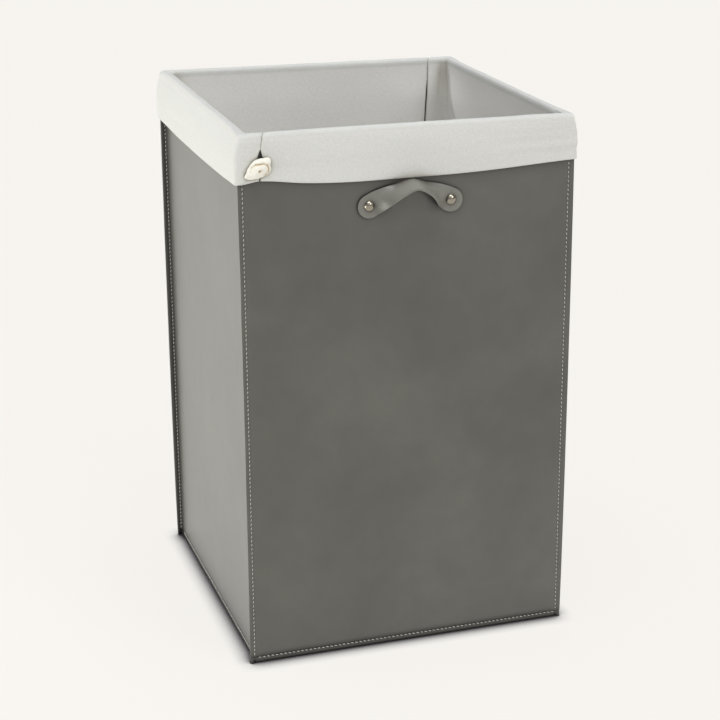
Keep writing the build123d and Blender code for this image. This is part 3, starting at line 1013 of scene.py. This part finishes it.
# The knot's outline round its eye, its folds, and how high its front stands.
knot_eye = Vector((-0.1680, 0.5715))
knot_face = cuff_low.y - 0.0002
knot_outline = [
    (-0.1838, 0.5642), (-0.1815, 0.5690), (-0.1785, 0.5750), (-0.1745, 0.5798), (-0.1690, 0.5827),
    (-0.1630, 0.5834), (-0.1572, 0.5840), (-0.1550, 0.5815), (-0.1556, 0.5765), (-0.1550, 0.5715),
    (-0.1570, 0.5678), (-0.1610, 0.5652), (-0.1665, 0.5636), (-0.1730, 0.5622), (-0.1800, 0.5620),
]
knot_folds = [
    ((-0.1765, 0.5745), (-0.1722, 0.5776), 0.5), ((-0.1722, 0.5776), (-0.1640, 0.5782), 1.0),
    ((-0.1640, 0.5782), (-0.1600, 0.5768), 0.8), ((-0.1600, 0.5768), (-0.1583, 0.5728), 0.9),
    ((-0.1583, 0.5728), (-0.1588, 0.5692), 1.0), ((-0.1588, 0.5692), (-0.1625, 0.5662), 0.8),
    ((-0.1686, 0.5708), (-0.1655, 0.5722), 0.5), ((-0.1765, 0.5745), (-0.1775, 0.5705), 0.3),
]


def to_segment(place, start, end):
    """Distance from a place to a straight fold."""
    start, end = Vector(start), Vector(end)
    run = end - start
    share = max(0.0, min(1.0, (place - start).dot(run) / run.length_squared))
    return (place - start - run * share).length


def knot_reach(angle):
    """How far the outline is from the eye in a direction."""
    spokes = [Vector(corner) - knot_eye for corner in knot_outline]
    ring = sorted((atan2(spoke.y, spoke.x), spoke.length) for spoke in spokes)
    ring = [(ring[-1][0] - 2 * pi, ring[-1][1])] + ring + [(ring[0][0] + 2 * pi, ring[0][1])]
    for (before, near), (after, far) in zip(ring, ring[1:]):
        if before <= angle <= after:
            share = (angle - before) / (after - before)
            return near + (far - near) * share
    return ring[0][1]


bpy.ops.object.select_all(action="DESELECT")
bpy.ops.mesh.primitive_uv_sphere_add(segments=112, ring_count=72, radius=1)
knot = bpy.context.object
knot.name = knot.data.name = "drawn_knot"
fold = knot.data.attributes.new("fold", "FLOAT", "POINT")
for vertex in knot.data.vertices:
    unit = vertex.co.copy()
    angle = atan2(unit.y, unit.x)
    lay = sqrt(unit.x**2 + unit.y**2)
    spot = knot_eye + Vector((cos(angle), sin(angle))) * lay * knot_reach(angle)
    crown = 0.0062 - 0.0022 * smooth(-spot.x, 0.168, 0.183)
    height = crown * abs(unit.z) ** 0.8
    crease_and_shade = 0.0
    if unit.z > 0:
        for start, end, strength in knot_folds:
            crease_and_shade = max(crease_and_shade, strength * exp(-((to_segment(spot, start, end) / 0.0007) ** 2)))
        pit = exp(-(((spot - knot_eye - Vector((-0.0006, -0.0006))).length / 0.0011) ** 2))
        outer = smooth(min(to_segment(spot, a, b) for a, b, _ in knot_folds[:6]), 0, 0.003)
        height += 0.0010 * outer - 0.0016 * crease_and_shade - 0.0026 * pit
        height += 0.0004 * noise.noise(Vector((spot.x * 320, spot.y * 320, 1)))
        crease_and_shade = max(crease_and_shade, pit)
        height *= smooth(1.0 - lay, -0.02, 0.06) if lay > 0.94 else 1
    else:
        height = -0.0012 * abs(unit.z)
    # The folds and the eye are stored as painted golden shade for the tape's colour.
    fold.data[vertex.index].value = crease_and_shade
    vertex.co = Vector((spot.x, knot_face - 0.0012 - height, spot.y))
open_mesh()
close_outward()
bpy.ops.object.shade_smooth()
knot.data.materials.append(tape_cream)
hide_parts("elastic_knot")
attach(knot, "liner")

# ---- Studio --------------------------------------------------------------------------------
# A plain pale floor with a painted contact shadow where the hamper stands on it, a pale
# horizon, soft light from above and the front, and a low card at the left. The camera has a
# long lens and stands in front, to the left and above.
camera_place = Vector((-0.6387, -2.0002, 0.9964))
turn_right, look_down, roll = radians(17.79), radians(18.78), radians(-0.37)
lens_data = bpy.data.cameras.new("camera")
lens_data.sensor_width = 36
lens_data.lens = 91.735
camera = bpy.data.objects.new("camera", lens_data)
camera.matrix_world = (
    Matrix.Translation(camera_place)
    @ Matrix.Rotation(-turn_right, 4, "Z")
    @ Matrix.Rotation(pi / 2 - look_down, 4, "X")
    @ Matrix.Rotation(roll, 4, "Z")
)
bpy.context.collection.objects.link(camera)
bpy.context.scene.camera = camera

pale = (0.930, 0.905, 0.863)
floor_paint, shader, add, link = new_material("floor_paint")
grainy = add("ShaderNodeTexNoise", Scale=3.0, Detail=2.0)
place = add("ShaderNodeTexCoord")
tone = add("ShaderNodeValToRGB")
ramp_colours(tone, [(0.0, (0.097, 0.097, 0.097)), (1.0, (0.103, 0.103, 0.103))])
link(place.outputs["Object"], grainy.inputs["Vector"])
link(grainy.outputs["Fac"], tone.inputs["Fac"])
shader.inputs["Roughness"].default_value = 1.0
shader.inputs["Specular IOR Level"].default_value = 0.0
# Painted contact shadow: the floor's glow and colour fall nearly to black where the hamper stands close.
nearby = add("ShaderNodeAmbientOcclusion", samples=16, Distance=0.024)
painted_contact_shadow = add("ShaderNodeValToRGB")
ramp_colours(painted_contact_shadow, [(0.50, (0.03, 0.028, 0.033)), (0.78, (0.66, 0.645, 0.63)), (0.98, pale)])
shadowed_floor_colour = add("ShaderNodeMixRGB", blend_type="MULTIPLY", Fac=1.0)
link(nearby.outputs["AO"], painted_contact_shadow.inputs["Fac"])
link(painted_contact_shadow.outputs["Color"], shader.inputs["Emission Color"])
link(painted_contact_shadow.outputs["Color"], shadowed_floor_colour.inputs["Color1"])
link(tone.outputs["Color"], shadowed_floor_colour.inputs["Color2"])
link(shadowed_floor_colour.outputs["Color"], shader.inputs["Base Color"])
shader.inputs["Emission Strength"].default_value = 0.883
bpy.ops.object.select_all(action="DESELECT")
bpy.ops.mesh.primitive_plane_add(size=60, location=(0, 0, 0))
floor = bpy.context.object
floor.name = "floor"
floor.data.materials.append(floor_paint)

sky = bpy.data.worlds.new("studio")
sky.use_nodes = True
tree = sky.node_tree
direction = tree.nodes.new("ShaderNodeTexCoord")
parts = tree.nodes.new("ShaderNodeSeparateXYZ")
heights = tree.nodes.new("ShaderNodeValToRGB")
ramp_colours(heights, [(0.01, pale), (0.10, (0.345, 0.345, 0.353))])
tree.links.new(direction.outputs["Generated"], parts.inputs["Vector"])
tree.links.new(parts.outputs["Z"], heights.inputs["Fac"])
tree.links.new(heights.outputs["Color"], tree.nodes["Background"].inputs["Color"])
bpy.context.scene.world = sky
bpy.context.scene.view_settings.view_transform = "Standard"

for name, energy, spread_angle, tilt, heading in (
    ("overhead", 1.85, 45, 5, 0),
    ("key", 0.60, 28, 50, 35),
    ("front_fill", 0.35, 60, 45, -5),
):
    sun = bpy.data.lights.new(name, "SUN")
    sun.energy = energy
    sun.angle = radians(spread_angle)
    lamp = bpy.data.objects.new(name, sun)
    lamp.matrix_world = Matrix.Rotation(radians(heading), 4, "Z") @ Matrix.Rotation(radians(tilt), 4, "X")
    bpy.context.collection.objects.link(lamp)

card = bpy.data.lights.new("side_card", "AREA")
card.shape = "RECTANGLE"
card.size, card.size_y = 1.4, 0.5
card.spread = radians(120)
card.energy = 3.5
card.color = (0.985, 1.0, 0.94)
lamp = bpy.data.objects.new("side_card", card)
card_turn = Matrix.Rotation(-pi / 2, 4, "Z") @ Matrix.Rotation(pi / 2, 4, "X")
lamp.matrix_world = Matrix.Translation((-1.0, 0, 0.28)) @ card_turn
lamp.visible_camera = False
bpy.context.collection.objects.link(lamp)
